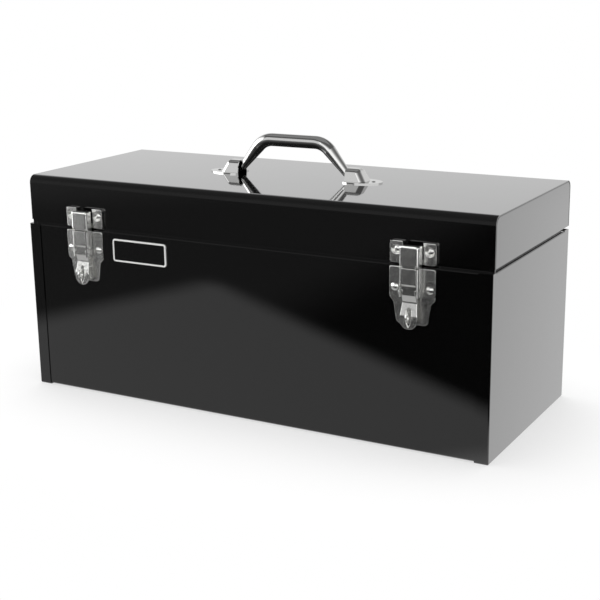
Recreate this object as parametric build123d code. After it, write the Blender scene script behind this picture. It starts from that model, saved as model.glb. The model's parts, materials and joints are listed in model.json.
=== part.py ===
from build123d import *
import os
from math import sqrt

# A portable flat-top steel toolbox: a folded steel body and lid joined by a piano hinge, two draw
# latches, a folding carrying handle and a lift-out tray. Millimetres, +Z up, the front faces -Y.
# While it is built, y = 0 is the middle of the body; every part is moved by depth_shift when it is
# written, so that the whole box stands centred on the origin.

# How far a cut runs past the face it goes through, and how near counts as on a face
over = 1.0
touch = 0.001

# Overall sizes
body_width = 511.0
body_depth = 210.0
body_height = 175.0
lid_height = 46.3
seam_gap = 3.4

# Sheet and its bends
sheet = 0.9
bend_inner = 0.4

# Body wrap, a sheet bent round the front, bottom and back
bottom_bend_inner = 1.5
lip_height = 8.0
front_lip_clearance = 0.5
wrap_end_gap = 0.5

# Body end pans, whose flanges lap over the wrap
pan_flange = 13.5
pan_corner_inner = 0.9
end_lip_clearance = 3.0
end_lip_rear_stop = 12.0
end_lip_front_gap = 0.3
rear_flange_drop = 1.5
joggle_height = 3.6

# Lid
lid_setback = 4.5
lid_top_bend = 8.0
cap_flange = 11.0
cap_corner_extra = 0.5
cap_flange_above_lip = 2.5

# Piano hinge
hinge_end_gap = 3.5
hinge_inset = 1.3
hinge_pin_radius = 0.75
hinge_bore_clearance = 0.05
hinge_knuckle_wall = 0.75
hinge_leaf = 0.8
hinge_leaf_height = 12.0
hinge_knuckles = 21
hinge_knuckle_gap = 0.3
hinge_notch_clearance = 0.2

# Tray and its ledges
ledge_height = 124.0
ledge_width = 14.0
ledge_leg = 16.0
ledge_sheet = 1.2
ledge_length = 170.0
tray_sheet = 0.8
tray_side_clearance = 1.7
tray_front_clearance = 2.7
tray_depth = 38.0
tray_rim = 2.5
tray_corner = 6.0
tray_floor_bend = 2.0
tray_seat = 0.3
divider_gap = 0.3
grip_length = 130.0
grip_rise = 22.0
grip_corner = 12.0
grip_hole_length = 94.0
grip_hole_height = 20.0
grip_hole_corner = 6.5
grip_bead_radius = 3.0
grip_bead_above_hole = 1.0
divider_foot_width = 4.0

# Draw latches
latch_spacing = 364.0
latch_offset = -1.7
latch_plate = 1.2
plate_corner = 2.0
catch_width = 44.6
catch_height = 19.7
catch_proud = 2.5
catch_dimple_radius = 4.3
catch_above_edge = -1.8
catch_notch_width = 20.0
catch_web = 4.6
hook_width = 13.0
hook_reach = 4.1
hook_shelf_rise = 7.0
hook_lip_height = 6.5
catch_rivet_spacing = 32.4
catch_rivet_above_edge = 12.0

base_width = 44.4
base_step_width = 36.0
base_foot_width = 30.0
base_below_edge = 1.7
base_height = 51.8
base_wide_height = 27.8
base_step_height = 4.5
base_foot_corner = 4.5
base_rivet_spacing = 34.0
base_rivet_drop = 20.5

lever_pivot_out = 5.1
lever_pivot_up = 1.0
lever_pin_radius = 1.5
claw_pivot_drop = 24.0
claw_pivot_out = 0.6
claw_pin_radius = 1.3
claw_pin_head_radius = 2.4
claw_pin_head = 0.7
claw_pin_hollow = 0.9
pivot_clearance = 0.06
cheek_gap = 0.25

lever_width = 14.2
lever_face_out = 4.8
lever_face_top = -1.8
lever_face_drop = 16.5
lever_step_back = 1.3
lever_step_drop = 1.5
lever_band_back = 1.7
lever_band_drop = 26.5
lever_waist_back = 4.0
lever_waist_drop = 33.0
lever_flare_back = 1.2
lever_flare_drop = 45.0
tongue_end_back = 0.8
lever_bends = [0.4, 0.6, 3.0, 4.0, 3.0]
cheek_foot_back = 3.6
cheek_foot_drop = 30.4
cheek_heel_back = 3.0
cheek_heel_drop = 27.2
cheek_brow_rise = 1.75
lever_boss = 3.5
claw_boss = 3.6
ear_thickness = 1.0
ear_radius = 2.5
ear_root = 12.0
tongue_width = 16.4
tongue_end_drop = 57.3
tongue_widest_drop = 49.6
tongue_waist_drop = 36.0
tongue_shoulder = 4.0
slot_width = 4.8
slot_top_drop = 38.0
slot_vee_drop = 50.5
slot_bottom_drop = 55.4

claw_depth = 8.2
claw_bend = 3.0
claw_top_bend = 2.2
claw_below_pivot = 4.0
claw_above_pivot = 18.5
claw_window_width = 14.9
claw_face_bottom = -0.6
claw_relief_radius = 1.9
claw_hook_gap = 0.3

staple_thickness = 1.6
staple_height = 10.0
staple_reach = 13.7
staple_drop = 46.0
staple_hole_radius = 2.4
staple_hole_back = 3.9

# Rivets
rivet_head_radius = 3.7
rivet_head_height = 1.5
rivet_shank_radius = 1.6
rivet_tail_radius = 2.6
rivet_tail_height = 0.8
rivet_clearance = 0.05
bracket_rivet_head_radius = 2.2
bracket_rivet_head_height = 0.9
bracket_rivet_shank_radius = 1.2

# Carrying handle and its brackets
handle_bar_radius = 6.5
handle_end_radius = 4.2
handle_swage_radius = 5.2
handle_setback = 3.2
handle_pivot_height = 6.4
handle_rise = 29.7
handle_top_corner = 34.5
handle_foot_corner = 60.4
handle_end = 70.5
handle_swage_start = 64.0
handle_swage_full = 67.0
handle_top_bend = 22.0
handle_foot_bend = 7.0
bracket_sheet = 1.2
bracket_inner_end = 61.5
bracket_tip = 98.0
bracket_widest = 70.0
bracket_half_width = 15.0
bracket_inner_reach = 18.0
dome_half_width = 10.0
dome_top_half_width = 7.5
dome_height = 13.4
dome_ridge_end = 75.5
dome_slope_end = 83.5
dome_bend = 5.5
bracket_rivet_x = 89.0

# Badge, left bare
badge_width = 64.5
badge_height = 23.2
badge_left = -148.5
badge_bottom = 145.3
badge_thickness = 1.4
badge_border = 1.7
badge_recess = 0.5
badge_corner = 3.0

# Places worked out from the sizes above
half_width = body_width / 2
half_depth = body_depth / 2
wrap_front = -half_depth + sheet
wrap_back = half_depth - sheet
wrap_bottom = sheet
wrap_half_length = half_width - sheet - wrap_end_gap
lid_bottom = body_height + seam_gap
lid_top = lid_bottom + lid_height
lid_front = -half_depth + lid_setback
handle_y = (lid_front + wrap_back) / 2 + handle_setback
front_lip_y = lid_front + sheet + front_lip_clearance
lip_top = body_height + lip_height
end_lip_x = half_width - sheet - end_lip_clearance
hinge_y = wrap_back - hinge_inset
hinge_z = body_height + seam_gap / 2
hinge_half_length = half_width - pan_flange - hinge_end_gap
bracket_bore_radius = bracket_rivet_shank_radius + rivet_clearance
hinge_bore_radius = hinge_pin_radius + hinge_bore_clearance
knuckle_radius = hinge_bore_radius + hinge_knuckle_wall
knuckle_pitch = 2 * hinge_half_length / hinge_knuckles

base_face = wrap_front - latch_plate
catch_floor = lid_front - latch_plate
catch_face = catch_floor - catch_proud
lever_pivot_y = wrap_front - lever_pivot_out
lever_pivot_z = body_height + lever_pivot_up
claw_pivot_y = lever_pivot_y - claw_pivot_out
claw_pivot_z = lever_pivot_z - claw_pivot_drop
latch_face_y = lever_pivot_y - lever_face_out
ear_inner = lever_width / 2 + cheek_gap
ear_outer = ear_inner + ear_thickness
claw_inner = ear_outer + cheek_gap
claw_outer = claw_inner + latch_plate
claw_top = lever_pivot_z + claw_above_pivot
lever_bore_radius = lever_pin_radius + pivot_clearance
claw_bore_radius = claw_pin_radius + pivot_clearance
catch_bottom = lid_bottom + catch_above_edge
hook_face = catch_face - hook_reach
hook_shelf = catch_bottom + hook_shelf_rise
base_top = body_height - base_below_edge
staple_z = lever_pivot_z - staple_drop
staple_tip = base_face - staple_reach

handle_z = lid_top + handle_pivot_height

tray_bottom = ledge_height + tray_seat
tray_half_length = end_lip_x - sheet - tray_side_clearance
tray_half_depth = -(front_lip_y + sheet + tray_front_clearance)
tray_top = tray_bottom + tray_depth

front_reach = -staple_tip
back_reach = max(half_depth, hinge_y + knuckle_radius)
depth_shift = (front_reach - back_reach) / 2


def block(x0, x1, y0, y1, z0, z1):
    """Box between two corners."""
    centre = Pos((x0 + x1) / 2, (y0 + y1) / 2, (z0 + z1) / 2)
    return centre * Box(x1 - x0, y1 - y0, z1 - z0)


def rod_x(y, z, radius, x0, x1):
    """Round bar along X."""
    return Pos((x0 + x1) / 2, y, z) * Rot(0, 90, 0) * Cylinder(radius, x1 - x0)


def rod_y(x, z, radius, y0, y1):
    """Round bar along Y."""
    return Pos(x, (y0 + y1) / 2, z) * Rot(90, 0, 0) * Cylinder(radius, y1 - y0)


def rod_z(x, y, radius, z0, z1):
    """Round bar along Z."""
    return Pos(x, y, (z0 + z1) / 2) * Cylinder(radius, z1 - z0)


def strip_face(points, thickness, inner_radii):
    """Outline of a bent sheet: a path of points, and the same path moved to its left by the thickness."""
    steps = [(b[0] - a[0], b[1] - a[1]) for a, b in zip(points, points[1:])]
    units = [(u / sqrt(u * u + v * v), v / sqrt(u * u + v * v)) for u, v in steps]
    lefts = [(-v, u) for u, v in units]
    first, last = points[0], points[-1]
    moved = [(first[0] + thickness * lefts[0][0], first[1] + thickness * lefts[0][1])]
    path_radii, moved_radii = [], []
    for index, inner in enumerate(inner_radii):
        corner = points[index + 1]
        n0, n1 = lefts[index], lefts[index + 1]
        u0, u1 = units[index], units[index + 1]
        spread = thickness / (1 + n0[0] * n1[0] + n0[1] * n1[1])
        moved.append((corner[0] + spread * (n0[0] + n1[0]), corner[1] + spread * (n0[1] + n1[1])))
        turns_left = u0[0] * u1[1] - u0[1] * u1[0] > 0
        path_radii.append(inner + thickness if turns_left else inner)
        moved_radii.append(inner if turns_left else inner + thickness)
    moved.append((last[0] + thickness * lefts[-1][0], last[1] + thickness * lefts[-1][1]))
    outer = FilletPolyline(*points, radius=path_radii)
    inner = FilletPolyline(*moved, radius=moved_radii)
    ends = [Line(first, moved[0]), Line(last, moved[-1])]
    return make_face(outer.edges() + inner.edges() + [end.edge() for end in ends])


def bent_along_x(points, thickness, inner_radii, x0, x1):
    """Sheet bent along a path of (y, z) points and running from x0 to x1."""
    face = Plane.YZ.offset(x0) * strip_face(points, thickness, inner_radii)
    return extrude(face, amount=x1 - x0, dir=(1, 0, 0))


def bent_along_y(points, thickness, inner_radii, y0, y1):
    """Sheet bent along a path of (x, z) points and running from y0 to y1."""
    section = Plane(origin=(0, y0, 0), x_dir=(1, 0, 0), z_dir=(0, -1, 0))
    face = section * strip_face(points, thickness, inner_radii)
    return extrude(face, amount=y1 - y0, dir=(0, 1, 0))


def plate_between(points, x0, x1):
    """Flat plate with a straight-sided (y, z) outline, from x0 to x1."""
    face = Plane.YZ.offset(x0) * make_face(Polyline(*points, close=True))
    return extrude(face, amount=x1 - x0, dir=(1, 0, 0))


def mirrored(shape):
    """The same piece on the other side of the box."""
    return mirror(shape, about=Plane.YZ)


def dome_rivet(head_radius, head_height, shank_radius, grip):
    """Rivet along -Z under a domed head, which sits on z = 0, with a formed tail below the grip."""
    sphere_radius = (head_radius**2 + head_height**2) / (2 * head_height)
    ball = Pos(0, 0, head_height - sphere_radius) * Sphere(sphere_radius)
    head = ball & Pos(0, 0, head_height) * Cylinder(head_radius + over, 2 * head_height)
    tail_radius = shank_radius * rivet_tail_radius / rivet_shank_radius
    tail = rod_z(0, 0, tail_radius, -grip - rivet_tail_height, -grip)
    shank = rod_z(0, 0, shank_radius, -grip - rivet_tail_height / 2, head_height / 2)
    return head + shank + tail


def front_rivet(x, y, z, grip):
    """Rivet pressed in from the front of the box."""
    rivet = dome_rivet(rivet_head_radius, rivet_head_height, rivet_shank_radius, grip)
    return Pos(x, y, z) * Rot(90, 0, 0) * rivet


def rivet_holes(places, y0, y1):
    """Clearance holes for rivets along Y."""
    return [rod_y(x, z, rivet_shank_radius + rivet_clearance, y0, y1) for x, z in places]


def base_rivet_places(centre):
    z = base_top - base_rivet_drop + base_below_edge
    return [(centre + side * base_rivet_spacing / 2, z) for side in (-1, 1)]


def catch_rivet_places(centre):
    z = catch_bottom + catch_rivet_above_edge
    return [(centre + side * catch_rivet_spacing / 2, z) for side in (-1, 1)]


latch_centres = {"left": latch_offset - latch_spacing / 2, "right": latch_offset + latch_spacing / 2}


# Body


def make_body_wrap():
    """Front, bottom and back in one bent sheet, with the front lip that the lid closes over."""
    path = [
        (front_lip_y, lip_top),
        (front_lip_y, body_height),
        (wrap_front, body_height),
        (wrap_front, wrap_bottom),
        (wrap_back, wrap_bottom),
        (wrap_back, body_height),
    ]
    radii = [bend_inner, bend_inner, bottom_bend_inner, bottom_bend_inner]
    wrap = bent_along_x(path, sheet, radii, -wrap_half_length, wrap_half_length)
    for centre in latch_centres.values():
        for hole in rivet_holes(base_rivet_places(centre), wrap_front - over, wrap_front + 2 * sheet):
            wrap -= hole
    return wrap


def pan_solid(outer_x, inner_x, y0, y1, z0, z1, corner, edge):
    """Block whose long corners and outer edges are rounded, open towards the top."""
    pan = block(inner_x, outer_x, y0, y1, z0, z1)
    floor = [e for e in pan.edges().filter_by(Axis.X) if e.center().Z < (z0 + z1) / 2]
    pan = fillet(floor, corner)
    face = pan.faces().sort_by(Axis.X)[-1]
    rim = [e for e in face.edges() if e.center().Z < z1 - touch]
    return fillet(rim, edge)


def make_body_end():
    """Right end of the body: a pan whose flanges lap over the wrap, with an inner lip along its top."""
    inner_x = half_width - pan_flange
    outer = pan_solid(
        half_width,
        inner_x,
        -half_depth,
        half_depth,
        0,
        body_height,
        pan_corner_inner + sheet,
        bend_inner + sheet,
    )
    inner = pan_solid(
        half_width - sheet,
        inner_x - over,
        wrap_front,
        wrap_back,
        sheet,
        body_height + over,
        pan_corner_inner,
        bend_inner,
    )
    pan = outer - inner
    joggle_z = body_height - joggle_height
    y0 = front_lip_y + sheet + end_lip_front_gap
    y1 = wrap_back - end_lip_rear_stop
    pan -= block(half_width - 2 * sheet, half_width + over, y0, y1, joggle_z, body_height + over)
    path = [
        (half_width, joggle_z),
        (half_width, body_height),
        (end_lip_x, body_height),
        (end_lip_x, lip_top),
    ]
    pan += bent_along_y(path, sheet, [bend_inner, bend_inner], y0, y1)
    rear_top = body_height - rear_flange_drop
    rear = block(
        inner_x - over, half_width + over, wrap_back, half_depth + over, rear_top, 2 * body_height
    )
    return pan - rear


def make_tray_ledge():
    """Right-hand angle, welded to the body end, that the tray rests on."""
    face = half_width - sheet
    path = [
        (face, ledge_height - ledge_leg),
        (face, ledge_height),
        (face - ledge_width, ledge_height),
    ]
    return bent_along_y(path, ledge_sheet, [bend_inner], -ledge_length / 2, ledge_length / 2)


def make_badge():
    """Bare badge plate with a raised border."""
    x0 = badge_left
    x1 = badge_left + badge_width
    z0 = badge_bottom
    z1 = badge_bottom + badge_height
    plate = block(x0, x1, wrap_front - badge_thickness, wrap_front, z0, z1)
    plate = fillet(plate.edges().filter_by(Axis.Y), badge_corner)
    field = block(
        x0 + badge_border,
        x1 - badge_border,
        wrap_front - 2 * badge_thickness,
        wrap_front - badge_thickness + badge_recess,
        z0 + badge_border,
        z1 - badge_border,
    )
    return plate - fillet(field.edges().filter_by(Axis.Y), badge_corner - badge_border)


# Hinge


def make_hinge_leaf(direction, first):
    """One leaf of the piano hinge: direction -1 hangs down into the body and +1 stands up in the lid."""
    foot = hinge_z + direction * (seam_gap / 2 + hinge_leaf_height)
    y0 = wrap_back - sheet - hinge_leaf
    y1 = wrap_back - sheet
    leaf = block(-hinge_half_length, hinge_half_length, y0, y1, min(foot, hinge_z), max(foot, hinge_z))
    clear = knuckle_radius + hinge_notch_clearance
    margin = hinge_knuckle_gap / 2
    for index in range(hinge_knuckles):
        x0 = -hinge_half_length + index * knuckle_pitch
        x1 = x0 + knuckle_pitch
        if index % 2 == first:
            leaf += rod_x(hinge_y, hinge_z, knuckle_radius, x0 + margin, x1 - margin)
        else:
            leaf -= block(x0 - margin, x1 + margin, y0 - over, y1 + over, hinge_z - clear, hinge_z + clear)
    return leaf - rod_x(hinge_y, hinge_z, hinge_bore_radius, -half_width, half_width)


def make_hinge_pin():
    return rod_x(hinge_y, hinge_z, hinge_pin_radius, -hinge_half_length, hinge_half_length)


# Lid


def make_lid_wrap():
    """Front, top and back of the lid in one bent sheet."""
    path = [
        (wrap_back, lid_bottom),
        (wrap_back, lid_top),
        (lid_front, lid_top),
        (lid_front, lid_bottom),
    ]
    inner = lid_top_bend - sheet
    wrap = bent_along_x(path, sheet, [inner, inner], -half_width, half_width)
    for centre in latch_centres.values():
        for hole in rivet_holes(catch_rivet_places(centre), lid_front - over, lid_front + 2 * sheet):
            wrap -= hole
    for x in (-bracket_rivet_x, bracket_rivet_x):
        wrap -= rod_z(x, handle_y, bracket_bore_radius, lid_top - 2 * sheet, lid_top + over)
    return wrap


def cap_solid(outer_x, inner_x, y0, y1, z0, z1, corner, edge):
    """Block whose top corners and outer edges are rounded, open towards the bottom."""
    cap = block(inner_x, outer_x, y0, y1, z0, z1)
    crown = [e for e in cap.edges().filter_by(Axis.X) if e.center().Z > (z0 + z1) / 2]
    cap = fillet(crown, corner)
    face = cap.faces().sort_by(Axis.X)[-1]
    rim = [e for e in face.edges() if e.center().Z > z0 + touch]
    return fillet(rim, edge)


def make_lid_end():
    """Right end of the lid: a pan tucked inside the lid's bent sheet."""
    corner = lid_top_bend - sheet + cap_corner_extra
    y0 = lid_front + sheet
    y1 = wrap_back - sheet
    z1 = lid_top - sheet
    inner_x = half_width - sheet - cap_flange
    outer = cap_solid(half_width, inner_x, y0, y1, lid_bottom, z1, corner, bend_inner + sheet)
    inner = cap_solid(
        half_width - sheet,
        inner_x - over,
        y0 + sheet,
        y1 - sheet,
        lid_bottom - over,
        z1 - sheet,
        corner - sheet,
        bend_inner,
    )
    cut_top = lip_top + cap_flange_above_lip
    cut = block(inner_x - over, half_width - sheet, y0 - over, y0 + 3 * sheet, lid_bottom - over, cut_top)
    return outer - inner - cut


# Handle and brackets


def dome_solid(start, skin):
    """Hood over one end of the handle, drawn in by the skin on every side but its open end."""
    run = dome_slope_end - dome_ridge_end
    lean = dome_half_width - dome_top_half_width
    height = dome_height - skin
    end = dome_slope_end - skin * sqrt(run**2 + dome_height**2) / dome_height
    ridge = end - height * run / dome_height
    foot = dome_half_width - skin * sqrt(lean**2 + dome_height**2) / dome_height
    brow = foot - height * lean / dome_height
    side = Polyline((start, 0), (start, height), (ridge, height), (end, 0), close=True)
    back = Plane(origin=(0, handle_y + foot, lid_top), x_dir=(1, 0, 0), z_dir=(0, -1, 0))
    hood = extrude(back * make_face(side), amount=2 * foot, dir=(0, -1, 0))
    across = Polyline((-foot, 0), (foot, 0), (brow, height), (-brow, height), close=True)
    opening = Plane(origin=(start, handle_y, lid_top), x_dir=(0, 1, 0), z_dir=(1, 0, 0))
    hood &= extrude(opening * make_face(across), amount=end - start)
    crests = []
    for edge in hood.edges():
        centre = edge.center()
        on_base = centre.Z < lid_top + touch
        on_opening = centre.X < start + touch
        if not on_base and not on_opening:
            crests.append(edge)
    return fillet(crests, dome_bend - skin)


def make_bracket():
    """Right handle bracket: a leaf-shaped flange with a stamped hood that is open towards the handle."""
    outer_reach = bracket_tip - bracket_widest
    y0 = handle_y - bracket_half_width
    y1 = handle_y + bracket_half_width
    top = lid_top + bracket_sheet
    leaf = None
    for reach, x0, x1 in (
        (outer_reach, bracket_widest, bracket_tip),
        (bracket_inner_reach, bracket_inner_end, bracket_widest),
    ):
        disc = extrude(Ellipse(reach, bracket_half_width), bracket_sheet)
        disc = Pos(bracket_widest, handle_y, lid_top) * disc
        disc &= block(x0, x1, y0, y1, lid_top, top)
        leaf = disc if leaf is None else leaf + disc
    bracket = leaf + dome_solid(bracket_inner_end, 0)
    bracket -= dome_solid(bracket_inner_end - over, bracket_sheet)
    return bracket - rod_z(bracket_rivet_x, handle_y, bracket_bore_radius, lid_top - over, top + over)


def make_bracket_rivet():
    """Rivet at the tip of the right bracket."""
    rivet = dome_rivet(
        bracket_rivet_head_radius,
        bracket_rivet_head_height,
        bracket_rivet_shank_radius,
        bracket_sheet + sheet,
    )
    return Pos(bracket_rivet_x, handle_y, lid_top + bracket_sheet) * rivet


def make_handle():
    """Bent tube handle: full at the grip, drawn down along its legs, with swaged ends in the brackets."""
    corners = [
        (-handle_end, 0),
        (-handle_foot_corner, 0),
        (-handle_top_corner, handle_rise),
        (handle_top_corner, handle_rise),
        (handle_foot_corner, 0),
        (handle_end, 0),
    ]
    plane = Plane(origin=(0, handle_y, handle_z), x_dir=(1, 0, 0), z_dir=(0, -1, 0))
    radii = [handle_foot_bend, handle_top_bend, handle_top_bend, handle_foot_bend]
    path = plane * FilletPolyline(*corners, radius=radii)
    runs = path.edges()
    end = handle_end_radius
    bar = handle_bar_radius
    widths = [(end, end), (end, end), (end, bar), (bar, bar), (bar, bar)]
    widths += [(bar, bar), (bar, end), (end, end), (end, end)]
    handle = None
    for run, (r0, r1) in zip(runs, widths):
        start = Plane(origin=run @ 0, z_dir=run % 0) * Circle(r0)
        finish = Plane(origin=run @ 1, z_dir=run % 1) * Circle(r1)
        piece = sweep(start, path=run) if r0 == r1 else loft([start, finish])
        handle = piece if handle is None else handle + piece
    narrow = Plane(origin=(handle_swage_start, handle_y, handle_z), z_dir=(1, 0, 0)) * Circle(end)
    wide = Plane(origin=(handle_swage_full, handle_y, handle_z), z_dir=(1, 0, 0))
    swage = loft([narrow, wide * Circle(handle_swage_radius)])
    swage += rod_x(handle_y, handle_z, handle_swage_radius, handle_swage_full, handle_end)
    return handle + swage + mirrored(swage)


# Latches


def make_catch_plate(centre):
    """Pressed plate that stands proud of the lid, dimpled round its rivets, with a hook for the claw."""
    half = catch_width / 2
    top = catch_bottom + catch_height
    notch = catch_notch_width / 2
    plate = block(centre - half, centre + half, catch_face, lid_front, catch_bottom, top)
    plate = fillet(plate.edges().filter_by(Axis.Y), plate_corner)
    web_top = catch_bottom + catch_web
    plate -= block(centre - notch, centre + notch, catch_face - over, lid_front + over, web_top, top + over)
    for side in (-1, 1):
        x0, x1 = sorted(centre + side * x for x in (notch + latch_plate, half - latch_plate))
        z0 = catch_bottom + latch_plate
        plate -= block(x0, x1, catch_face + latch_plate, lid_front + over, z0, top - latch_plate)
    for x, z in catch_rivet_places(centre):
        plate += rod_y(x, z, catch_dimple_radius + latch_plate, catch_face, lid_front)
        plate -= rod_y(x, z, catch_dimple_radius, catch_face - over, catch_floor)
    path = [
        (hook_face, hook_shelf + hook_lip_height),
        (hook_face, hook_shelf),
        (catch_face, hook_shelf),
        (catch_face, catch_bottom + catch_web / 2),
    ]
    x0 = centre - hook_width / 2
    plate += bent_along_x(path, latch_plate, [bend_inner, bend_inner], x0, x0 + hook_width)
    for hole in rivet_holes(catch_rivet_places(centre), catch_face - over, lid_front + over):
        plate -= hole
    return plate


def make_catch_rivets(centre):
    return [front_rivet(x, catch_floor, z, latch_plate + sheet) for x, z in catch_rivet_places(centre)]


def make_latch_base(centre):
    """Tapered plate on the body with two ears that carry the lever."""
    step_z = base_top - base_wide_height
    taper_z = step_z - base_step_height
    foot_z = base_top - base_height
    right = [
        (base_width / 2, base_top),
        (base_width / 2, step_z),
        (base_step_width / 2, taper_z),
        (base_foot_width / 2, foot_z),
    ]
    left = [(-x, z) for x, z in reversed(right)]
    section = Plane(origin=(centre, wrap_front, 0), x_dir=(1, 0, 0), z_dir=(0, -1, 0))
    outline = section * make_face(Polyline(*right, *left, close=True))
    plate = extrude(outline, amount=latch_plate, dir=(0, -1, 0))
    foot = [e for e in plate.edges().filter_by(Axis.Y) if e.center().Z < foot_z + touch]
    plate = fillet(foot, base_foot_corner)
    crown = [e for e in plate.edges().filter_by(Axis.Y) if e.center().Z > base_top - touch]
    plate = fillet(crown, plate_corner)
    for hole in rivet_holes(base_rivet_places(centre), base_face - over, wrap_front + over):
        plate -= hole
    for side in (-1, 1):
        x0, x1 = sorted(centre + side * x for x in (ear_inner, ear_outer))
        ear = rod_x(lever_pivot_y, lever_pivot_z, ear_radius, x0, x1)
        web = [
            (base_face, lever_pivot_z + ear_radius),
            (lever_pivot_y, lever_pivot_z + ear_radius),
            (lever_pivot_y, lever_pivot_z - ear_radius),
            (base_face, lever_pivot_z - ear_root),
        ]
        ear += plate_between(web, x0, x1)
        plate += ear - rod_x(lever_pivot_y, lever_pivot_z, lever_bore_radius, x0 - over, x1 + over)
    return plate


def make_base_rivets(centre):
    return [front_rivet(x, base_face, z, latch_plate + sheet) for x, z in base_rivet_places(centre)]


def make_staple(centre):
    """Upright eye on the latch base that stands through the lever's slot, for a padlock."""
    nose = staple_height / 2
    half = staple_thickness / 2
    x0, x1 = centre - half, centre + half
    tab = block(x0, x1, staple_tip + nose, base_face, staple_z - nose, staple_z + nose)
    tab += rod_x(staple_tip + nose, staple_z, nose, x0, x1)
    return tab - rod_x(staple_tip + staple_hole_back, staple_z, staple_hole_radius, x0 - over, x1 + over)


def make_lever_pin(centre):
    reach = ear_outer + cheek_gap / 3
    return rod_x(lever_pivot_y, lever_pivot_z, lever_pin_radius, centre - reach, centre + reach)


def make_claw_pin(centre):
    """Hollow-ended pin that joins the claw to the lever."""
    inner = claw_outer + cheek_gap / 3
    outer = inner + claw_pin_head
    pin = rod_x(claw_pivot_y, claw_pivot_z, claw_pin_radius, centre - outer, centre + outer)
    for side in (-1, 1):
        x0, x1 = sorted((centre + side * inner, centre + side * outer))
        pin += rod_x(claw_pivot_y, claw_pivot_z, claw_pin_head_radius, x0, x1)
        x0, x1 = sorted((centre + side * (outer - 2 * claw_pin_head), centre + side * outer))
        pin -= rod_x(claw_pivot_y, claw_pivot_z, claw_pin_hollow, x0, x1)
    return pin


def lever_profile():
    """Front surface of the lever in (y, z), from its top to the end of the tongue."""
    face = latch_face_y
    pivot_z = lever_pivot_z
    return [
        (face, pivot_z + lever_face_top),
        (face, pivot_z - lever_face_drop),
        (face + lever_step_back, pivot_z - lever_face_drop - lever_step_drop),
        (face + lever_band_back, pivot_z - lever_band_drop),
        (face + lever_waist_back, pivot_z - lever_waist_drop),
        (face + lever_flare_back, pivot_z - lever_flare_drop),
        (face + tongue_end_back, pivot_z - tongue_end_drop),
    ]


def tongue_outline(centre):
    """Front view of the lever: straight along its channel, widening to a rounded tongue."""
    half = lever_width / 2
    wide = tongue_width / 2
    widest = lever_pivot_z - tongue_widest_drop
    end = lever_pivot_z - tongue_end_drop
    waist = lever_pivot_z - tongue_waist_drop
    shoulder = widest + tongue_shoulder
    top = lever_pivot_z + over
    edges = [
        Line((-half, top), (half, top)),
        Line((half, top), (half, waist)),
        Line((half, waist), (wide, shoulder)),
        Line((wide, shoulder), (wide, widest)),
        EllipticalCenterArc((0, widest), wide, widest - end, start_angle=180, arc_size=180),
        Line((-wide, widest), (-wide, shoulder)),
        Line((-wide, shoulder), (-half, waist)),
        Line((-half, waist), (-half, top)),
    ]
    face = make_face([edge.edge() for edge in edges])
    section = Plane(origin=(centre, 0, 0), x_dir=(1, 0, 0), z_dir=(0, -1, 0))
    return extrude(section * face, amount=2 * half_depth, dir=(0, -1, 0))


def tongue_slot(centre):
    """Slot that clears the padlock staple: round at its top and pointed at its foot."""
    half = slot_width / 2
    top = lever_pivot_z - slot_top_drop
    vee = lever_pivot_z - slot_vee_drop
    foot = lever_pivot_z - slot_bottom_drop
    points = [(-half, top - half), (half, top - half), (half, vee), (0, foot), (-half, vee)]
    section = Plane(origin=(centre, 0, 0), x_dir=(1, 0, 0), z_dir=(0, -1, 0))
    face = section * make_face(Polyline(*points, close=True))
    slot = extrude(face, amount=2 * half_depth, dir=(0, -1, 0))
    return slot + rod_y(centre, top - half, half, -2 * half_depth, 0)


def make_lever(centre):
    """Latch lever: a channel on two pivots that runs down into a slotted tongue."""
    wide = tongue_width / 2 + over
    lever = bent_along_x(lever_profile(), latch_plate, lever_bends, centre - wide, centre + wide)
    lever &= tongue_outline(centre)
    front = latch_face_y + latch_plate / 2
    behind = latch_face_y + latch_plate
    pivot_z = lever_pivot_z
    cheek = [
        (front, pivot_z + lever_face_top),
        (front, pivot_z - lever_face_drop),
        (front + lever_step_back, pivot_z - lever_face_drop - lever_step_drop),
        (front + lever_band_back, pivot_z - lever_band_drop),
        (front + cheek_foot_back, pivot_z - cheek_foot_drop),
        (claw_pivot_y + cheek_heel_back, pivot_z - cheek_heel_drop),
        (lever_pivot_y + lever_boss, pivot_z),
        (lever_pivot_y, pivot_z + cheek_brow_rise),
    ]
    for side in (-1, 1):
        x0, x1 = sorted(centre + side * x for x in (lever_width / 2 - latch_plate, lever_width / 2))
        lever += plate_between(cheek, x0, x1)
        lever += rod_x(lever_pivot_y, pivot_z, lever_boss, x0, x1)
        boss = rod_x(claw_pivot_y, claw_pivot_z, claw_boss, x0, x1)
        z0 = claw_pivot_z - 2 * claw_boss
        z1 = claw_pivot_z + 2 * claw_boss
        lever += boss & block(x0, x1, behind, base_face, z0, z1)
    lever -= tongue_slot(centre)
    x0 = centre - lever_width
    x1 = centre + lever_width
    lever -= rod_x(lever_pivot_y, lever_pivot_z, lever_bore_radius, x0, x1)
    return lever - rod_x(claw_pivot_y, claw_pivot_z, claw_bore_radius, x0, x1)


def claw_shell(centre, skin):
    """Box-like hood of the claw, drawn in by the skin, open at its back and foot."""
    half = claw_outer - skin
    front = latch_face_y + skin
    back = latch_face_y + claw_depth + skin
    low = claw_pivot_z - claw_below_pivot - skin
    top = claw_top - skin
    hood = block(centre - half, centre + half, front, back, low, top)
    upright = [e for e in hood.edges().filter_by(Axis.Z) if e.center().Y < front + touch]
    hood = fillet(upright, claw_bend - skin)
    crown = hood.faces().sort_by(Axis.Z)[-1]
    rim = [e for e in crown.edges() if e.center().Y < back - touch]
    return fillet(rim, claw_top_bend - skin)


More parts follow.
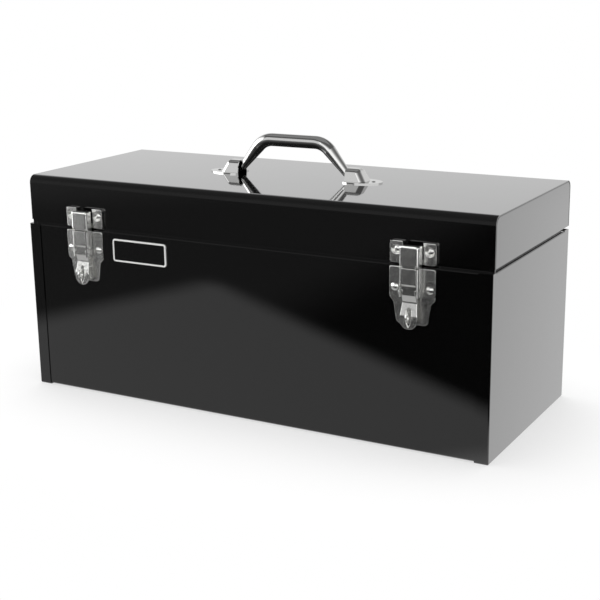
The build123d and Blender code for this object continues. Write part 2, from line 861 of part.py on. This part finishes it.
def make_claw(centre):
    """Claw: a hood that draws the catch down, on two long cheeks that hang on the lever."""
    claw = claw_shell(centre, 0) - claw_shell(centre, latch_plate)
    x0 = centre - claw_window_width / 2
    x1 = centre + claw_window_width / 2
    y0 = latch_face_y - over
    y1 = latch_face_y + claw_bend
    face_bottom = lever_pivot_z + claw_face_bottom
    claw -= block(x0, x1, y0, y1, claw_pivot_z - 2 * claw_below_pivot, face_bottom)
    for x in (x0, x1):
        claw -= rod_y(x, face_bottom, claw_relief_radius, y0, y1)
    roof_end = hook_face - claw_hook_gap
    back = latch_face_y + 2 * claw_depth
    top = claw_top + over
    claw -= block(centre - claw_inner, centre + claw_inner, roof_end, back, claw_pivot_z, top)
    reach = 2 * claw_outer
    return claw - rod_x(claw_pivot_y, claw_pivot_z, claw_bore_radius, centre - reach, centre + reach)


# Tray


def tray_shell(skin, rise):
    """Block with rounded corners and floor edge, drawn in by the skin."""
    length = tray_half_length - tray_rim - skin
    depth = tray_half_depth - tray_rim - skin
    pan = block(-length, length, -depth, depth, tray_bottom + skin, tray_top + rise)
    pan = fillet(pan.edges().filter_by(Axis.Z), tray_corner - skin)
    floor = pan.faces().sort_by(Axis.Z)[0]
    return fillet(floor.edges(), tray_floor_bend - skin)


def make_tray_pan():
    """Lift-out tray with an outward rim."""
    length = tray_half_length
    depth = tray_half_depth
    rim = block(-length, length, -depth, depth, tray_top - tray_sheet, tray_top)
    rim = fillet(rim.edges().filter_by(Axis.Z), tray_corner + tray_rim)
    return tray_shell(0, 0) + rim - tray_shell(tray_sheet, over)


def make_tray_divider():
    """Upright sheet along the middle of the tray, raised in its middle into a grip with a finger hole."""
    half = tray_half_length - tray_rim - tray_sheet - divider_gap
    floor = tray_bottom + tray_sheet
    low = floor + tray_floor_bend
    top = tray_top + grip_rise
    thick = tray_sheet / 2
    wall = block(-half, half, -thick, thick, low, tray_top)
    grip = block(-grip_length / 2, grip_length / 2, -thick, thick, low, top)
    crown = [e for e in grip.edges().filter_by(Axis.Y) if e.center().Z > top - touch]
    grip = fillet(crown, grip_corner)
    hole_top = top - 2 * grip_bead_radius - grip_bead_above_hole
    hole_half = grip_hole_length / 2
    hole = block(-hole_half, hole_half, -over, over, hole_top - grip_hole_height, hole_top)
    hole = fillet(hole.edges().filter_by(Axis.Y), grip_hole_corner)
    bead_half = grip_length / 2 - grip_corner
    bead = rod_x(0, top - grip_bead_radius, grip_bead_radius, -bead_half, bead_half)
    inner = half - tray_floor_bend
    stem = block(-inner, inner, -thick, thick, floor, low + tray_sheet)
    foot = block(-inner, inner, -thick, divider_foot_width, floor, floor + tray_sheet)
    return wall + grip - hole + bead + stem + foot


# Writing


def placed(shapes):
    """One node, a solid or a list of separate solids, moved so that the box stands on the origin."""
    move = Pos(0, depth_shift, 0)
    if isinstance(shapes, list):
        return Compound([move * solid for shape in shapes for solid in shape.solids()])
    return move * shapes


def all_parts():
    body_end = make_body_end()
    ledge = make_tray_ledge()
    lid_end = make_lid_end()
    bracket = make_bracket()
    bracket_rivet = make_bracket_rivet()
    parts = {
        "body_wrap": make_body_wrap(),
        "body_end_right": body_end,
        "body_end_left": mirrored(body_end),
        "tray_ledge_right": ledge,
        "tray_ledge_left": mirrored(ledge),
        "hinge_leaf_body": make_hinge_leaf(-1, 0),
        "hinge_leaf_lid": make_hinge_leaf(1, 1),
        "hinge_pin": make_hinge_pin(),
        "badge_plate": make_badge(),
        "lid_wrap": make_lid_wrap(),
        "lid_end_right": lid_end,
        "lid_end_left": mirrored(lid_end),
        "handle_bracket_right": bracket,
        "handle_bracket_left": mirrored(bracket),
        "bracket_rivet_right": bracket_rivet,
        "bracket_rivet_left": mirrored(bracket_rivet),
        "carry_handle": make_handle(),
        "tray_pan": make_tray_pan(),
        "tray_divider": make_tray_divider(),
    }
    for side, centre in latch_centres.items():
        parts["catch_plate_" + side] = make_catch_plate(centre)
        parts["catch_rivets_" + side] = make_catch_rivets(centre)
        parts["latch_base_" + side] = make_latch_base(centre)
        parts["latch_base_rivets_" + side] = make_base_rivets(centre)
        parts["padlock_staple_" + side] = make_staple(centre)
        parts["lever_pin_" + side] = make_lever_pin(centre)
        parts["latch_lever_" + side] = make_lever(centre)
        parts["claw_pin_" + side] = make_claw_pin(centre)
        parts["latch_claw_" + side] = make_claw(centre)
    return parts


os.makedirs("parts", exist_ok=True)
for name, shape in all_parts().items():
    export_step(placed(shape), "parts/" + name + ".step")
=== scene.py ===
import json

import bmesh
import bpy
import numpy as np
from mathutils import Matrix, Vector

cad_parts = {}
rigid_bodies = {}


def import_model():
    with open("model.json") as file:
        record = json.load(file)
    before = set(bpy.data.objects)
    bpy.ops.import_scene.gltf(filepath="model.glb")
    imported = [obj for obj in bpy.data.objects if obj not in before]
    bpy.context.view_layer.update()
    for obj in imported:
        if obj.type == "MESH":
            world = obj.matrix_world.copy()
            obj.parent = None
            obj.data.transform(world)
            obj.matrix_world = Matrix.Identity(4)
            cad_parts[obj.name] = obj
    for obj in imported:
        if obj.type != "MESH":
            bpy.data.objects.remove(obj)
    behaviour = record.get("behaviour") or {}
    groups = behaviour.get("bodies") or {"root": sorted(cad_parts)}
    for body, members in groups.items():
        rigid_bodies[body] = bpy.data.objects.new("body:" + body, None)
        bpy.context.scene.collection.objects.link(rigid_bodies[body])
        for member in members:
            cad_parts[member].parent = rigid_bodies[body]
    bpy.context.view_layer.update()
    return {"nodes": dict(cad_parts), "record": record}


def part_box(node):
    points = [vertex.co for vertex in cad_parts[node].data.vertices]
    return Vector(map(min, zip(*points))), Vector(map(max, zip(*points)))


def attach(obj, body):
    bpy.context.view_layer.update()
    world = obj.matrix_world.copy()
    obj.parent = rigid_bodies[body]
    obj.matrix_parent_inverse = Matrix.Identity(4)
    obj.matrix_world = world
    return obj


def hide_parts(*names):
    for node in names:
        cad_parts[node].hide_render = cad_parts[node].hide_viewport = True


# A closed steel toolbox in gloss black enamel, with bright plated latches, brackets and handle.
# Metres, +Z up, the front faces -Y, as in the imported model.

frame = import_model()
nodes = frame["nodes"]
MM = 0.001
WHITE = (1, 1, 1, 1)
body_of = {n: body for body, names in frame["record"]["behaviour"]["bodies"].items() for n in names}


def linear(hex_colour):
    """An sRGB hex colour as linear red, green, blue and a full alpha: the lowest shares are divided
    by 12.92, and the others follow a power of 2.4."""
    shares = [int(hex_colour[i : i + 2], 16) / 255 for i in (1, 3, 5)]
    return [s / 12.92 if s <= 0.04045 else ((s + 0.055) / 1.055) ** 2.4 for s in shares] + [1.0]


def input_key(name):
    """The input that a name stands for: a number after the word in, such as in2, is the input's
    number, and any other name is its label with underscores for spaces."""
    return int(name[2:]) if name.startswith("in") and name[2:].isdigit() else name.replace("_", " ")


def add(tree, kind, settings=None, **links):
    """Adds one node. Settings are the node's attributes or its inputs' values. Each link is what
    feeds an input: a node's output, or a node, which stands for its first output."""
    node = tree.nodes.new(kind)
    for name, value in (settings or {}).items():
        if hasattr(node, name):
            setattr(node, name, value)
        else:
            node.inputs[input_key(name)].default_value = value
    for name, source in links.items():
        output = source.outputs[0] if isinstance(source, bpy.types.Node) else source
        tree.links.new(output, node.inputs[input_key(name)])
    return node


def ramp(low, high, at_low=0.0, at_high=1.0):
    """The settings of a smooth step from one level to another between two limits."""
    limits = {"From Min": low, "From Max": high, "To Min": at_low, "To Max": at_high}
    return {"interpolation_type": "SMOOTHSTEP", **limits}


def eased_along(tree, vector, direction, low, high, at_low=0.0, at_high=1.0):
    """A smooth step between two limits of how far a vector reaches along a direction, which is the
    dot product of the two."""
    settings = {"operation": "DOT_PRODUCT", "in1": direction}
    reach = add(tree, "ShaderNodeVectorMath", settings, in0=vector).outputs["Value"]
    return add(tree, "ShaderNodeMapRange", ramp(low, high, at_low, at_high), Value=reach)


def mirrored(tree, path):
    """1 for what gloss mirrors or clear material lets through, otherwise 0: the higher of the two."""
    glossy, clear = path.outputs["Is Glossy Ray"], path.outputs["Is Transmission Ray"]
    return add(tree, "ShaderNodeMath", {"operation": "MAXIMUM"}, in0=glossy, in1=clear)


def new_material(name):
    """An empty node material and its tree."""
    material = bpy.data.materials.new(name)
    material.use_nodes = True
    material.node_tree.nodes.clear()
    return material, material.node_tree


# Studio: a white room as gloss sees it, and a table lit up to an edge in front of the box


def studio_world():
    """White where the camera looks past the object, and an even soft white for matt surfaces. Gloss
    sees a room instead: light behind, very bright at the far left, dark in a band beside that, bright
    from left of the middle of the front to the right, and a dim ceiling."""
    behind_level, ceiling_level, even_level, seen_level = 0.80, 0.12, 0.85, 1.0
    rightwards, backwards, upwards = (1, 0, 0), (0, 1, 0), (0, 0, 1)
    world = bpy.data.worlds.new("studio")
    world.use_nodes = True
    tree = world.node_tree
    tree.nodes.clear()
    path = add(tree, "ShaderNodeLightPath")
    direction = add(tree, "ShaderNodeTexCoord").outputs["Generated"]
    behind = eased_along(tree, direction, backwards, -0.15, 0.25)
    far_left = eased_along(tree, direction, rightwards, -0.74, -0.67, at_low=3.6, at_high=0.20)
    right = eased_along(tree, direction, rightwards, -0.31, -0.22, at_low=0.0, at_high=1.1)
    front = add(tree, "ShaderNodeMath", {"operation": "ADD"}, in0=far_left, in1=right)
    settings = {"data_type": "FLOAT", "in3": behind_level}
    walls = add(tree, "ShaderNodeMix", settings, in0=behind, in2=front)
    overhead = eased_along(tree, direction, upwards, 0.30, 0.75)
    settings = {"data_type": "FLOAT", "in3": ceiling_level}
    room_level = add(tree, "ShaderNodeMix", settings, in0=overhead, in2=walls)
    room = add(tree, "ShaderNodeBackground", {"Color": WHITE}, Strength=room_level)
    even = add(tree, "ShaderNodeBackground", {"Color": WHITE, "Strength": even_level})
    seen = add(tree, "ShaderNodeBackground", {"Color": WHITE, "Strength": seen_level})
    light = add(tree, "ShaderNodeMixShader", in0=mirrored(tree, path), in1=even, in2=room)
    camera = path.outputs["Is Camera Ray"]
    mix = add(tree, "ShaderNodeMixShader", in0=camera, in1=light, in2=seen)
    add(tree, "ShaderNodeOutputWorld", Surface=mix)
    bpy.context.scene.world = world


def table_glow(tree, place):
    """The table's brightness as gloss sees it: strong at the right-hand end and behind, weaker in
    front, and nearly black past the straight front edge and the left edge of the lit area. More than
    a metre away it is dark in front and light behind."""
    across_front_edge, across_left_edge = (-0.511, 0.859, 0), (0.943, 0.332, 0)
    to_back_right, rightwards, backwards = (0.707, 0.707, 0), (1, 0, 0), (0, 1, 0)
    inside_front = eased_along(tree, place, across_front_edge, -0.327, -0.277)
    inside_left = eased_along(tree, place, across_left_edge, -0.543, -0.443)
    lit = add(tree, "ShaderNodeMath", {"operation": "MULTIPLY"}, in0=inside_front, in1=inside_left)
    lit_level = eased_along(tree, place, to_back_right, 0.055, 0.130, at_low=0.42, at_high=1.0)
    unlit_level = eased_along(tree, place, rightwards, -0.25, -0.05, at_low=0.075, at_high=0.008)
    settings = {"data_type": "FLOAT"}
    near_level = add(tree, "ShaderNodeMix", settings, in0=lit, in2=unlit_level, in3=lit_level)
    distance = add(tree, "ShaderNodeVectorMath", {"operation": "LENGTH"}, in0=place)
    beyond = add(tree, "ShaderNodeMapRange", ramp(1.15, 1.5), Value=distance.outputs["Value"])
    far_level = eased_along(tree, place, backwards, -0.6, -0.1, at_low=0.14, at_high=0.95)
    return add(tree, "ShaderNodeMix", settings, in0=beyond, in2=near_level, in3=far_level)


def table_material():
    """White paper sweep: it takes the object's soft shadow, and fades to plain white in an oval
    round it. Gloss sees the table's own brightness instead."""
    oval = {"vector_type": "POINT", "Scale": (0.62, 1.0, 1.0)}
    material, tree = new_material("white_paper_sweep")
    path = add(tree, "ShaderNodeLightPath")
    place = add(tree, "ShaderNodeTexCoord").outputs["Object"]
    paper = add(tree, "ShaderNodeBsdfDiffuse", {"Color": linear("#fafafa")})
    white = add(tree, "ShaderNodeEmission", {"Color": WHITE, "Strength": 1.0})
    squeeze = add(tree, "ShaderNodeMapping", oval, Vector=place)
    reach = add(tree, "ShaderNodeVectorMath", {"operation": "LENGTH"}, in0=squeeze)
    fade = ramp(0.16, 0.34, at_low=0.55, at_high=1.0)
    faded = add(tree, "ShaderNodeMapRange", fade, Value=reach.outputs["Value"])
    camera = path.outputs["Is Camera Ray"]
    whiteness = add(tree, "ShaderNodeMath", {"operation": "MULTIPLY"}, in0=faded, in1=camera)
    seen = add(tree, "ShaderNodeMixShader", in0=whiteness, in1=paper, in2=white)
    glow = add(tree, "ShaderNodeEmission", {"Color": WHITE}, Strength=table_glow(tree, place))
    mix = add(tree, "ShaderNodeMixShader", in0=mirrored(tree, path), in1=seen, in2=glow)
    add(tree, "ShaderNodeOutputMaterial", Surface=mix)
    return material


def make_table():
    """A flat square sweep far wider than the object."""
    reach = 6.0
    corners = [(-reach, -reach, 0), (reach, -reach, 0), (reach, reach, 0), (-reach, reach, 0)]
    mesh = bpy.data.meshes.new("floor")
    mesh.from_pydata(corners, [], [(0, 1, 2, 3)])
    mesh.materials.append(table_material())
    floor = bpy.data.objects.new("floor", mesh)
    bpy.context.scene.collection.objects.link(floor)


def make_lamp(name, place, target, size, power):
    """A soft square lamp that faces a point. It lights matt surfaces, and gloss doesn't mirror it."""
    light = bpy.data.lights.new(name, "AREA")
    light.shape = "SQUARE"
    light.size = size
    light.energy = power
    lamp = bpy.data.objects.new(name, light)
    lamp.visible_camera = False
    lamp.visible_glossy = False
    lamp.location = place
    lamp.rotation_euler = (Vector(place) - Vector(target)).to_track_quat("Z", "Y").to_euler()
    bpy.context.scene.collection.objects.link(lamp)
    return lamp


def pieces_in(title, metal, ending=""):
    """A collection of the pieces finished in a metal whose names have an ending."""
    group = bpy.data.collections.new(title)
    for piece in bpy.context.scene.objects:
        finished = piece.type == "MESH" and piece.data.materials[:1] == [metal]
        if finished and piece.name.endswith(ending):
            group.objects.link(piece)
    return group


def make_metal_cards():
    """White cards that only the bright metal mirrors, for the gleam on its faces and rims: in front
    and overhead, and at both sides too for the rolled pressings of the latches."""
    front_place, front_size, box_middle = (-0.62, -1.0, 0.70), 0.8, (0, -0.1, 0.16)
    handle_metal = pieces_in("handle_metal", chrome)
    latch_metal = pieces_in("latch_metal", nickel)
    pressings = pieces_in("pressings", nickel, "_plated")
    for name, receivers, place, size, power in (
        ("handle_front_card", handle_metal, front_place, front_size, 1.15),
        ("handle_overhead_card", handle_metal, (-0.2, 0.1, 1.6), 1.5, 1.0),
        ("latch_front_card", latch_metal, front_place, front_size, 1.9),
        ("latch_overhead_card", pressings, (-0.35, -0.60, 1.25), 0.9, 3.6),
        ("latch_left_card", pressings, (-0.75, -0.34, 0.08), 0.40, 1.0),
        ("latch_right_card", pressings, (0.75, -0.65, 0.05), 0.45, 1.3),
    ):
        card = make_lamp(name, place, box_middle, size, power)
        card.visible_glossy = True
        card.light_linking.receiver_collection = receivers


def make_camera():
    """The camera where the photo was taken from, worked out from the box's straight outlines. It is
    turned by its right and up directions and the cross product of the two."""
    focal_pixels, frame_pixels, sensor_width, farthest = 1264.74, 600, 36.0, 50.0
    low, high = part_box("body_end_left")
    body_middle = (low.y + high.y) / 2
    place = (623.73 * MM, -1096.64 * MM + body_middle, 438.54 * MM)
    right = (0.87350617, 0.48661744, -0.01379998)
    up = (-0.1156624, 0.23498965, 0.96509174)
    data = bpy.data.cameras.new("camera")
    data.sensor_width = sensor_width
    data.lens = focal_pixels * sensor_width / frame_pixels
    data.clip_end = farthest
    camera = bpy.data.objects.new("camera", data)
    turn = Matrix((right, up, tuple(np.cross(right, up)))).transposed().to_4x4()
    camera.matrix_world = Matrix.Translation(place) @ turn
    bpy.context.scene.collection.objects.link(camera)
    bpy.context.scene.camera = camera


# Finishes


def gloss_black_enamel(name, roughness, coat):
    """Black baking enamel sprayed on pressed steel sheet and stoved: a deep mirror gloss with a faint
    orange peel, which softens the edge of every reflection, on a sheet with long, low waves."""
    peel_mm, wave_mm = 3.03, 71.43
    peel_depth, wave_depth = 0.2 * MM, 1.2 * MM
    material, tree = new_material(name)
    place = add(tree, "ShaderNodeTexCoord").outputs["Object"]
    peel = add(tree, "ShaderNodeTexNoise", {"Scale": 1000 / peel_mm, "Detail": 2.0}, Vector=place)
    waves = add(tree, "ShaderNodeTexNoise", {"Scale": 1000 / wave_mm, "Detail": 1.0}, Vector=place)
    settings = {"Strength": 0.05, "Distance": wave_depth}
    wavy = add(tree, "ShaderNodeBump", settings, Height=waves)
    settings = {"Strength": 0.02, "Distance": peel_depth}
    peeled = add(tree, "ShaderNodeBump", settings, Height=peel, Normal=wavy)
    enamel_settings = {
        "Base Color": linear("#050505"),
        "Roughness": roughness,
        "IOR": 1.5,
        "Coat Weight": coat,
        "Coat Roughness": 0.03,
        "Coat IOR": 1.5,
    }
    shader = add(
        tree, "ShaderNodeBsdfPrincipled", enamel_settings, Normal=peeled, Coat_Normal=peeled
    )
    add(tree, "ShaderNodeOutputMaterial", Surface=shader)
    return material


def bright_plate(name, colour, smoothest, roughest, grain_mm, dent_depth):
    """Plated steel: bright metal whose gloss varies a little with fine handling marks, over wide,
    shallow dents that break highlights."""
    dent_mm, faintest_mark, clearest_mark = 11.11, 0.3, 0.7
    material, tree = new_material(name)
    place = add(tree, "ShaderNodeTexCoord").outputs["Object"]
    marks = add(tree, "ShaderNodeTexNoise", {"Scale": 1000 / grain_mm, "Detail": 2.0}, Vector=place)
    gloss = ramp(faintest_mark, clearest_mark, at_low=smoothest, at_high=roughest)
    roughness = add(tree, "ShaderNodeMapRange", gloss, Value=marks)
    dents = add(tree, "ShaderNodeTexNoise", {"Scale": 1000 / dent_mm, "Detail": 1.0}, Vector=place)
    dented = add(tree, "ShaderNodeBump", {"Strength": 0.25, "Distance": dent_depth}, Height=dents)
    settings = {"Base Color": linear(colour), "Metallic": 1.0}
    shader = add(
        tree, "ShaderNodeBsdfPrincipled", settings, Roughness=roughness, Normal=dented
    )
    add(tree, "ShaderNodeOutputMaterial", Surface=shader)
    return material


def satin_silver(name):
    """Silver ink baked on the badge's raised border: pale flakes in clear resin, so it is mostly
    matt."""
    material, tree = new_material(name)
    settings = {"Base Color": linear("#f2f2f0"), "Metallic": 0.3, "Roughness": 0.45, "IOR": 1.5}
    shader = add(tree, "ShaderNodeBsdfPrincipled", settings)
    add(tree, "ShaderNodeOutputMaterial", Surface=shader)
    return material


enamel = gloss_black_enamel("gloss_black_enamel", roughness=0.06, coat=1.0)
inner_enamel = gloss_black_enamel("thin_black_enamel", roughness=0.22, coat=0.35)
chrome = bright_plate("polished_chrome", "#dcdcdb", 0.04, 0.09, grain_mm=1.4, dent_depth=0.02 * MM)
nickel = bright_plate("bright_nickel_plate", "#ececea", 0.22, 0.27, grain_mm=2.5, dent_depth=0.4 * MM)
silver_print = satin_silver("satin_silver_print")
zinc = bright_plate("zinc_plated_steel", "#9fa0a0", 0.28, 0.42, grain_mm=0.9, dent_depth=0.1 * MM)
finish_of_slot = {
    "black_paint": enamel,
    "inner_paint": inner_enamel,
    "hinge_steel": zinc,
    "chrome": chrome,
    "plating": nickel,
}
slot_of = {part["node"]: part["material_slot"] for part in frame["record"]["subparts"]}
for node, slot in slot_of.items():
    slots = nodes[node].data.materials
    slots.clear()
    slots.append(finish_of_slot[slot])


# Pieces


def finish_piece(piece, node, material):
    """Gives a new piece its finish, and lets it ride with a CAD node's body."""
    piece.data.materials.clear()
    piece.data.materials.append(material)
    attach(piece, body_of[node])


def rolled_edges(node, width, material=None, narrow=False, split=False):
    """A pressed part with its sheared edges rolled over: the CAD mesh merged, and every sharp edge
    rounded to a small radius, so that the rims catch light as they do on tumbled and plated
    stampings. On a narrow part the rounding keeps to the room that there is between edges. On a part
    to split, faces with more than four corners are cut into triangles first."""
    merged_within, flat_angle, sharp_angle = 2e-6, np.radians(0.6), np.radians(38)
    mesh = nodes[node].data.copy()
    mesh.name = node + "_plated"
    work = bmesh.new()
    work.from_mesh(mesh)
    bmesh.ops.remove_doubles(work, verts=work.verts, dist=merged_within)
    bmesh.ops.dissolve_limit(work, angle_limit=flat_angle, verts=work.verts, edges=work.edges)
    if split:
        many_sided = [face for face in work.faces if len(face.verts) > 4]
        bmesh.ops.triangulate(work, faces=many_sided, ngon_method="BEAUTY")
    work.to_mesh(mesh)
    work.free()
    mesh.shade_smooth()
    piece = bpy.data.objects.new(node + "_plated", mesh)
    bpy.context.scene.collection.objects.link(piece)
    bevel = piece.modifiers.new("rolled_edge", "BEVEL")
    bevel.width = width
    bevel.segments = 3
    bevel.limit_method = "ANGLE"
    bevel.angle_limit = sharp_angle
    bevel.use_clamp_overlap = narrow
    flats = piece.modifiers.new("flat_faces", "WEIGHTED_NORMAL")
    flats.weight = 100
    finish_piece(piece, node, material or finish_of_slot[slot_of[node]])
    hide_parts(node)


def rounded_panel(name, centre, half, corner, back, front, edge, node, material):
    """A flat panel with rounded corners and a rounded front edge. Its outline at each step of the
    profile is four quarter circles about fixed corner centres; the profile goes up the side and round
    a quarter circle of the edge radius onto the face."""
    corner_steps, edge_steps = 10, 5
    turn = np.linspace(0, np.pi / 2, corner_steps)
    angle = np.concatenate([turn + quarter * np.pi / 2 for quarter in range(4)])
    sign = np.repeat([(1, 1), (-1, 1), (-1, -1), (1, -1)], corner_steps, axis=0)
    lean = np.linspace(0, np.pi / 2, edge_steps)
    inset = np.concatenate([[0.0], edge * (1 - np.cos(lean))])
    depth = np.concatenate([[back], front + edge * (1 - np.sin(lean))])
    radius = corner - inset[:, None]
    x = centre[0] + sign[:, 0] * (half[0] - corner) + radius * np.cos(angle)
    z = centre[1] + sign[:, 1] * (half[1] - corner) + radius * np.sin(angle)
    y = np.repeat(depth[:, None], len(angle), axis=1)
    points = np.stack([x, y, z], axis=-1)
    rings, count = x.shape
    index = np.arange(rings * count).reshape(rings, count)
    ahead = np.roll(index, -1, axis=1)
    quads = np.stack([index[:-1], ahead[:-1], ahead[1:], index[1:]], axis=-1).reshape(-1, 4)
    caps = [index[0][::-1].tolist(), index[-1].tolist()]
    mesh = bpy.data.meshes.new(name)
    mesh.from_pydata(points.reshape(-1, 3).tolist(), [], quads.tolist() + caps)
    work = bmesh.new()
    work.from_mesh(mesh)
    bmesh.ops.recalc_face_normals(work, faces=work.faces)
    work.to_mesh(mesh)
    work.free()
    piece = bpy.data.objects.new(name, mesh)
    bpy.context.scene.collection.objects.link(piece)
    finish_piece(piece, node, material)


def make_badge_field():
    """The black field of the badge, a little below its bright raised border."""
    low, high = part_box("badge_plate")
    border, recess, gap, thickness = 1.75 * MM, 0.5 * MM, 0.02 * MM, 0.34 * MM
    floor = low.y + recess - gap
    rounded_panel(
        "badge_field",
        centre=((low.x + high.x) / 2, (low.z + high.z) / 2),
        half=((high.x - low.x) / 2 - border, (high.z - low.z) / 2 - border),
        corner=1.2 * MM,
        back=floor,
        front=floor - thickness,
        edge=0.12 * MM,
        node="badge_plate",
        material=enamel,
    )


def make_seam_corner(side, sign):
    """The folded tab that closes the corner of the body's top edge below the lid."""
    low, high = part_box("body_end_" + side)
    lid_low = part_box("lid_wrap")[0]
    width, drop, inset, gap = 5.0 * MM, 8.4 * MM, 0.5 * MM, 0.15 * MM
    front_setback, back_setback = 1.0 * MM, 2.2 * MM
    outer = low.x if sign < 0 else high.x
    top = lid_low.z - gap
    bottom = high.z - drop
    rounded_panel(
        "seam_corner_" + side,
        centre=(outer - sign * (inset + width / 2), (bottom + top) / 2),
        half=(width / 2, (top - bottom) / 2),
        corner=0.6 * MM,
        back=lid_low.y + back_setback,
        front=lid_low.y + front_setback,
        edge=0.2 * MM,
        node="body_end_" + side,
        material=enamel,
    )


make_badge_field()
make_seam_corner("left", -1)
make_seam_corner("right", 1)
for stem, width, care in (
    ("catch_plate_", 0.45 * MM, {"split": True}),
    ("latch_base_", 0.45 * MM, {}),
    ("latch_lever_", 0.36 * MM, {}),
    ("latch_claw_", 0.40 * MM, {"narrow": True}),
    ("padlock_staple_", 0.40 * MM, {}),
):
    for side in ("left", "right"):
        rolled_edges(stem + side, width, **care)
rolled_edges("badge_plate", 0.35 * MM, silver_print)

bpy.context.scene.view_settings.view_transform = "Standard"
studio_world()
make_table()
make_camera()
make_lamp("overhead_fill", (-0.2, 0.2, 1.9), target=(0, 0, 0.1), size=1.2, power=16.0)
make_metal_cards()
